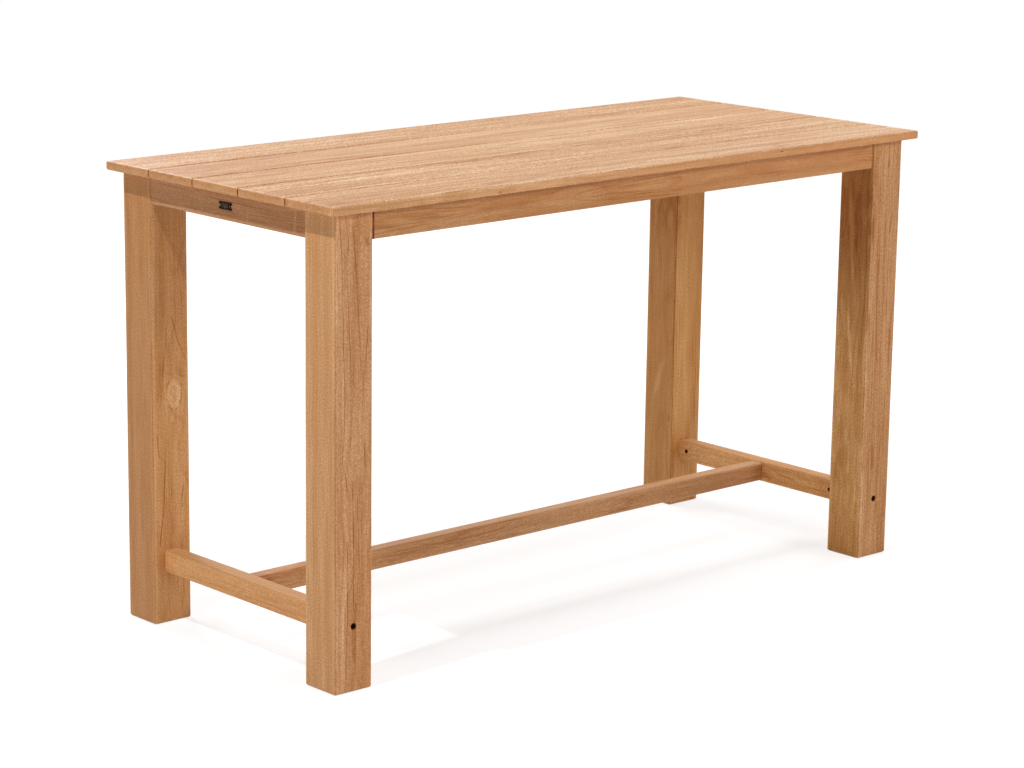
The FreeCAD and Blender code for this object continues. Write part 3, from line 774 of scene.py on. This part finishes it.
# Stretchers
# Two end stretchers and the long one between them form the H-shaped foot rail.
# They are teak with well rounded edges.
STRETCHER_MIDDLE, STRETCHER_HALF, RAIL_HALF_HEIGHT = 0.145, 0.02, 0.023
NUT_OUT, NUT_RADIUS = 0.248, 0.005


def rail_streak(points, width, dark):
    return streak(1, points, width, dark, face=-STRETCHER_HALF)


def nut_bores(inner):
    """The cross holes for the barrel nuts, in the inner face of an end stretcher."""
    return tuple(
        {"side": 1, "at": (place, 0.0), "radius": NUT_RADIUS, "face": inner}
        for place in (-NUT_OUT, NUT_OUT)
    )


for name, grain, middle_x, colour, pith, seed, changes in (
    (
        "end_stretcher_left", 1, -LEG_X, (0.660, 0.322, 0.119), (0.12, 0.03), 51.0,
        {
            "streaks": 0.08,
            "figure": 0.05,
            "cloud": 0.06,
            "lines": 0.04,
            "hairs": 0.1,
            "fuzz": 0.6,
            # Painted shade: the upper face is tinted darker.
            "above": (0.777, 0.813, 0.822),
            "bores": nut_bores(STRETCHER_HALF),
            "marks": (
                rail_streak(((-0.25, -0.010), (0.0, -0.012), (0.25, -0.015)), 0.002, 0.2),
                rail_streak(((-0.20, 0.004), (-0.05, 0.002), (0.1, 0.003)), 0.002, 0.1),
            ),
        },
    ),
    (
        "end_stretcher_right", 1, LEG_X, (0.670, 0.342, 0.122), (0.12, 0.03), 57.0,
        {"bores": nut_bores(-STRETCHER_HALF)},
    ),
    (
        "long_stretcher", 0, 0.0, (0.477, 0.222, 0.078), (0.09, 0.03), 63.0,
        {
            "hairs": 0.34,
            "lines": 0.22,
            # Painted sheen: the upper face is tinted paler and bluer.
            "above": (1.05, 1.15, 1.28),
            "gloss": 0.4,
            "marks": (
                rail_streak(
                    ((-0.50, 0.004), (-0.38, 0.010), (-0.22, 0.005), (-0.02, 0.009)),
                    0.005, 0.2,
                ),
                rail_streak(((-0.44, -0.006), (-0.30, -0.001), (-0.14, -0.008)), 0.004, 0.2),
                rail_streak(((-0.30, -0.014), (-0.16, -0.010), (0.02, -0.015)), 0.004, 0.18),
                rail_streak(((0.31, -0.008), (0.335, 0.003), (0.39, 0.010)), 0.005, 0.24),
                rail_streak(((0.20, 0.012), (0.42, 0.004), (0.62, -0.004)), 0.010, 0.1),
                # Painted shadow: the top of the rail's left end is darker, as if shaded from the lamp on
                # the left.
                streak(
                    0,
                    ((-0.84, 0.0), (-0.75, 0.0), (-0.62, 0.0)),
                    0.04, 0.3, face=RAIL_HALF_HEIGHT, core=0.9, fade=0.15,
                ),
            ),
        },
    ),
):
    finish_with(
        nodes[name],
        teak(f"Teak of {name}", grain, (middle_x, 0.0, STRETCHER_MIDDLE), colour, pith, seed, **changes),
    )

# Bolts and nuts
# The foot's socket-head bolts and barrel nuts are blackened steel, deep in their holes, and their
# near-black colour also stands in as painted shade for the depth of the holes.
# The hanger bolts and nuts at the braces are dull zinc plate.


def steel(name, colour, roughness, cloud, fineness):
    """Plated steel with a slightly cloudy surface."""
    material = bpy.data.materials.new(name)
    material.use_nodes = True
    tree = material.node_tree
    shader = tree.nodes["Principled BSDF"]
    shader.inputs["Metallic"].default_value = 0.9
    node(tree, "ShaderNodeTexCoord")
    place = tree.nodes[-1].outputs["Object"]
    spots = node(tree, "ShaderNodeTexNoise", {"Vector": place, "Scale": fineness, "Detail": 3.0})
    ramp = tree.nodes.new("ShaderNodeValToRGB")
    tree.links.new(spots, ramp.inputs[0])
    stops = ramp.color_ramp.elements
    stops[0].position, stops[1].position = 0.35, 0.68
    stops[0].color = [part * (1 - cloud) for part in colour] + [1]
    stops[1].color = [part * (1 + cloud) for part in colour] + [1]
    tree.links.new(ramp.outputs[0], shader.inputs["Base Color"])
    tree.links.new(calc(tree, "ADD", around(tree, spots, 0.25), roughness), shader.inputs["Roughness"])
    node(tree, "ShaderNodeBump", {"Height": spots, "Strength": 0.25, "Distance": 0.0002})
    tree.links.new(tree.nodes[-1].outputs[0], shader.inputs["Normal"])
    return material


blackened = steel("Blackened steel", (0.03, 0.026, 0.022), 0.5, 0.4, 700.0)
zinc = steel("Dull zinc plate", (0.42, 0.40, 0.37), 0.42, 0.15, 450.0)
for name in ("stretcher_bolts", "barrel_nuts"):
    finish_with(nodes[name], blackened)
for name in ("hanger_bolts", "hanger_nuts"):
    finish_with(nodes[name], zinc)

# Board screws
# Pan-head screws with a cross recess go up through battens and cleats into the boards.
# One is modelled at the origin and copied to every place.
SCREW_RADIUS, SCREW_HEIGHT, RECESS, SLOT = 0.0045, 0.0026, 0.0052, 0.0011
CARRIER_BELOW = 1.010
SCREW_ASIDE, SCREW_OFF_MIDDLE, LAST_ON_BATTEN, LAST_ON_CLEAT = 0.016, 0.045, 0.335, 0.255


def select_flat(edit, height):
    """Selects the faces that lie flat at one height."""
    bpy.ops.mesh.select_all(action="DESELECT")
    mesh = bmesh.from_edit_mesh(edit.data)
    for face in mesh.faces:
        flat_there = all(abs(corner.co.z - height) < 1e-6 for corner in face.verts)
        face.select_set(flat_there)
    bmesh.update_edit_mesh(edit.data)


bpy.ops.object.select_all(action="DESELECT")
bpy.ops.mesh.primitive_cylinder_add(
    vertices=16, radius=SCREW_RADIUS, depth=SCREW_HEIGHT, location=(0, 0, -SCREW_HEIGHT / 2)
)
screw = bpy.context.object
screw.name = "board_screw"
bpy.ops.object.transform_apply(location=True, rotation=True, scale=True)
bpy.ops.object.mode_set(mode="EDIT")
select_flat(screw, -SCREW_HEIGHT)
bpy.ops.mesh.bevel(offset=SCREW_HEIGHT * 0.45, segments=2, affect="EDGES")
bpy.ops.object.mode_set(mode="OBJECT")
for turn in range(2):
    bpy.ops.mesh.primitive_cube_add(size=1, location=(0, 0, -SCREW_HEIGHT))
    cutter = bpy.context.object
    cutter.scale = (RECESS, SLOT, SCREW_HEIGHT * 1.2) if turn else (SLOT, RECESS, SCREW_HEIGHT * 1.2)
    bpy.ops.object.select_all(action="DESELECT")
    screw.select_set(True)
    bpy.context.view_layer.objects.active = screw
    cut = screw.modifiers.new("Recess", "BOOLEAN")
    cut.operation = "DIFFERENCE"
    cut.object = cutter
    bpy.ops.object.modifier_apply(modifier=cut.name)
    bpy.data.objects.remove(cutter)

# Each board gets two screws in every carrier, set askew on a batten. The outer boards' screws
# stay within the carrier's length, and on a cleat their two fall on one place.
carriers = (
    ("batten_left", (-BATTEN_X - SCREW_ASIDE, -BATTEN_X + SCREW_ASIDE), LAST_ON_BATTEN),
    ("batten_middle", (-SCREW_ASIDE, SCREW_ASIDE), LAST_ON_BATTEN),
    ("batten_right", (BATTEN_X - SCREW_ASIDE, BATTEN_X + SCREW_ASIDE), LAST_ON_BATTEN),
    ("end_cleat_left", (-CLEAT_X,), LAST_ON_CLEAT),
    ("end_cleat_right", (CLEAT_X,), LAST_ON_CLEAT),
)
for carrier, places_x, last in carriers:
    copies = []
    for index in range(5):
        middle_y = (index - 2) * (BOARD_WIDTH + BOARD_GAP)
        for count, place_x in enumerate(places_x):
            for offset in (-SCREW_OFF_MIDDLE, SCREW_OFF_MIDDLE):
                place_y = middle_y + offset
                if abs(place_y) > last:
                    place_y = math.copysign(last, place_y)
                if len(places_x) == 2 and (count == 0) == (offset > 0):
                    continue
                bpy.ops.object.select_all(action="DESELECT")
                screw.select_set(True)
                bpy.context.view_layer.objects.active = screw
                bpy.ops.object.duplicate()
                copy = bpy.context.object
                copy.location = (place_x, place_y, CARRIER_BELOW)
                copy.rotation_euler = (0, 0, 0.7 * index + 1.9 * count + offset)
                copies.append(copy)
    bpy.ops.object.select_all(action="DESELECT")
    for copy in copies:
        copy.select_set(True)
    bpy.context.view_layer.objects.active = copies[0]
    bpy.ops.object.transform_apply(location=True, rotation=True, scale=True)
    bpy.ops.object.join()
    screws = bpy.context.object
    screws.name = f"screws_{carrier}"
    bpy.ops.object.shade_smooth_by_angle(angle=math.radians(35))
    finish_with(screws, zinc)
    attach(screws, "root")
bpy.data.objects.remove(screw)

# Name plate
# A small blank plate of blackened bronze, worn paler in the middle.
# Two small pins, one in each end, hold it to the left end apron.
APRON_OUT = 0.871
bronze = bpy.data.materials.new("Blackened bronze")
bronze.use_nodes = True
tree = bronze.node_tree
shader = tree.nodes["Principled BSDF"]
node(tree, "ShaderNodeTexCoord")
place = tree.nodes[-1].outputs["Object"]
centred = node(
    tree,
    "ShaderNodeMapping",
    {"Vector": place, "Location": (APRON_OUT, 0.0, -APRON_MIDDLE), "Scale": (1.0, 0.35, 1.0)},
)
worn = node(tree, "ShaderNodeTexNoise", {"Vector": centred, "Scale": 420.0, "Detail": 4.0})
node(tree, "ShaderNodeVectorMath", {0: centred}, operation="LENGTH")
middle_wear = spread(tree, tree.nodes[-1].outputs["Value"], 0.001, 0.009, 0.14, -0.12)
wear = calc(tree, "ADD", worn, middle_wear)
ramp = tree.nodes.new("ShaderNodeValToRGB")
tree.links.new(wear, ramp.inputs[0])
stops = ramp.color_ramp.elements
stops[0].position, stops[1].position = 0.42, 0.8
stops[0].color = (0.012, 0.006, 0.004, 1)
stops[1].color = (0.14, 0.088, 0.062, 1)
tree.links.new(ramp.outputs[0], shader.inputs["Base Color"])
shader.inputs["Metallic"].default_value = 0.3
shader.inputs["Specular IOR Level"].default_value = 0.1
shader.inputs["Specular Tint"].default_value = (0.9, 0.55, 0.4, 1)
tree.links.new(calc(tree, "ADD", around(tree, worn, -0.4), 0.6), shader.inputs["Roughness"])
node(tree, "ShaderNodeBump", {"Height": worn, "Strength": 0.5, "Distance": 0.0003})
tree.links.new(tree.nodes[-1].outputs[0], shader.inputs["Normal"])
finish_with(nodes["name_plate"], bronze)

PLATE_OUT, PIN_OFF_MIDDLE, PIN_RADIUS, PIN_HEIGHT = 0.8722, 0.0165, 0.0011, 0.0007
pins = []
for place_y in (-PIN_OFF_MIDDLE, PIN_OFF_MIDDLE):
    bpy.ops.object.select_all(action="DESELECT")
    bpy.ops.mesh.primitive_cylinder_add(
        vertices=12,
        radius=PIN_RADIUS,
        depth=PIN_HEIGHT,
        location=(-PLATE_OUT - PIN_HEIGHT / 2, place_y, APRON_MIDDLE),
        rotation=(0, -math.pi / 2, 0),
    )
    pin = bpy.context.object
    bpy.ops.object.mode_set(mode="EDIT")
    select_flat(pin, PIN_HEIGHT / 2)
    bpy.ops.mesh.inset(thickness=PIN_RADIUS * 0.3, depth=PIN_HEIGHT * 0.35)
    bpy.ops.mesh.inset(thickness=PIN_RADIUS * 0.35, depth=PIN_HEIGHT * 0.2)
    bpy.ops.object.mode_set(mode="OBJECT")
    bpy.ops.object.transform_apply(location=True, rotation=True, scale=True)
    pins.append(pin)
bpy.ops.object.select_all(action="DESELECT")
for pin in pins:
    pin.select_set(True)
bpy.context.view_layer.objects.active = pins[0]
bpy.ops.object.join()
plate_pins = bpy.context.object
plate_pins.name = "plate_pins"
bpy.ops.object.shade_smooth_by_angle(angle=math.radians(40))
finish_with(plate_pins, steel("Worn bronze", (0.36, 0.26, 0.18), 0.35, 0.3, 900.0))
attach(plate_pins, "root")

# Floor
# A plain white floor. It keeps the table's shadow, only faint as in a white studio.
FLOOR_SIZE, GLOW_UNDER, NEAR, FAR = 60, 0.72, 1.6, 3.2
bpy.ops.object.select_all(action="DESELECT")
bpy.ops.mesh.primitive_plane_add(size=FLOOR_SIZE, location=(0, 0, 0))
floor = bpy.context.object
floor.name = "Floor"
white = bpy.data.materials.new("White floor")
white.use_nodes = True
tree = white.node_tree
tree.nodes.remove(tree.nodes["Principled BSDF"])
light_path = tree.nodes.new("ShaderNodeLightPath")
matt = tree.nodes.new("ShaderNodeBsdfDiffuse")
matt.inputs["Color"].default_value = (0.8, 0.8, 0.8, 1)
pale = tree.nodes.new("ShaderNodeBsdfDiffuse")
pale.inputs["Color"].default_value = (0.35, 0.35, 0.35, 1)
node(tree, "ShaderNodeTexCoord")
node(tree, "ShaderNodeVectorMath", {0: tree.nodes[-1].outputs["Object"]}, operation="LENGTH")
far_off = tree.nodes[-1].outputs["Value"]
glow = tree.nodes.new("ShaderNodeEmission")
tree.links.new(spread(tree, far_off, NEAR, FAR, GLOW_UNDER, 1.0), glow.inputs["Strength"])
seen = node(tree, "ShaderNodeAddShader", {0: pale.outputs[0], 1: glow.outputs[0]})
direct = calc(tree, "MAXIMUM", light_path.outputs["Is Camera Ray"], light_path.outputs["Is Glossy Ray"])
direct = calc(tree, "MAXIMUM", direct, light_path.outputs["Is Transmission Ray"])
surface = node(tree, "ShaderNodeMixShader", {0: direct, 1: matt.outputs[0], 2: seen})
tree.links.new(surface, tree.nodes["Material Output"].inputs["Surface"])
floor.data.materials.append(white)

# World
# White all round, seen as plain white and shining softly on the table.
world = bpy.data.worlds.new("White studio")
bpy.context.scene.world = world
world.use_nodes = True
tree = world.node_tree
light_path = tree.nodes.new("ShaderNodeLightPath")
soft = tree.nodes["Background"]
soft.inputs["Color"].default_value = (1, 1, 1, 1)
soft.inputs["Strength"].default_value = 0.01
plain = tree.nodes.new("ShaderNodeBackground")
plain.inputs["Color"].default_value = (1, 1, 1, 1)
direct = calc(tree, "MAXIMUM", light_path.outputs["Is Camera Ray"], light_path.outputs["Is Glossy Ray"])
direct = calc(tree, "MAXIMUM", direct, light_path.outputs["Is Transmission Ray"])
surface = node(tree, "ShaderNodeMixShader", {0: direct, 1: soft.outputs[0], 2: plain.outputs[0]})
tree.links.new(surface, tree.nodes["World Output"].inputs["Surface"])

# Lamps
# A small lamp high up on the left, and wide soft ones all round the table.
AIM_HEIGHT = 0.6


def lamp(name, place, width, height, power):
    """A flat lamp that faces the middle of the table."""
    light = bpy.data.lights.new(name, "AREA")
    light.shape = "RECTANGLE"
    light.size = width
    light.size_y = height
    light.energy = power
    body = bpy.data.objects.new(name, light)
    bpy.context.scene.collection.objects.link(body)
    body.location = place
    aim = -body.location
    aim.z += AIM_HEIGHT
    body.rotation_euler = aim.to_track_quat("-Z", "Y").to_euler()


lamp("Key", (-2.64, -0.48, 4.56), 0.08, 0.08, 118)
lamp("Left", (-4.0, 0.0, 1.75), 1.0, 0.5, 26)
lamp("Front", (0.0, -4.0, 3.0), 2.5, 1.2, 58)
lamp("Front low", (0.0, -4.0, 0.7), 1.4, 1.4, 5)
lamp("Front right", (3.0, -3.0, 1.8), 2.0, 2.0, 45)
lamp("Right", (3.4, 0.2, 1.5), 2.2, 1.6, 15)
lamp("Right above", (1.9, 0.3, 2.7), 1.0, 1.0, 20)
lamp("Back", (0.0, 4.2, 3.0), 2.5, 1.2, 193)

# Camera
# The photograph's own viewing angle.
camera_data = bpy.data.cameras.new("Camera")
camera = bpy.data.objects.new("Camera", camera_data)
bpy.context.scene.collection.objects.link(camera)
camera.location = (-4.67376, -5.07686, 2.05773)
camera.rotation_euler = [math.radians(angle) for angle in (76.92123, -0.31600, -40.25505)]
camera_data.lens = 105.868
camera_data.shift_x = 0.10326
camera_data.shift_y = 0.01102
bpy.context.scene.camera = camera
bpy.context.scene.view_settings.view_transform = "Standard"
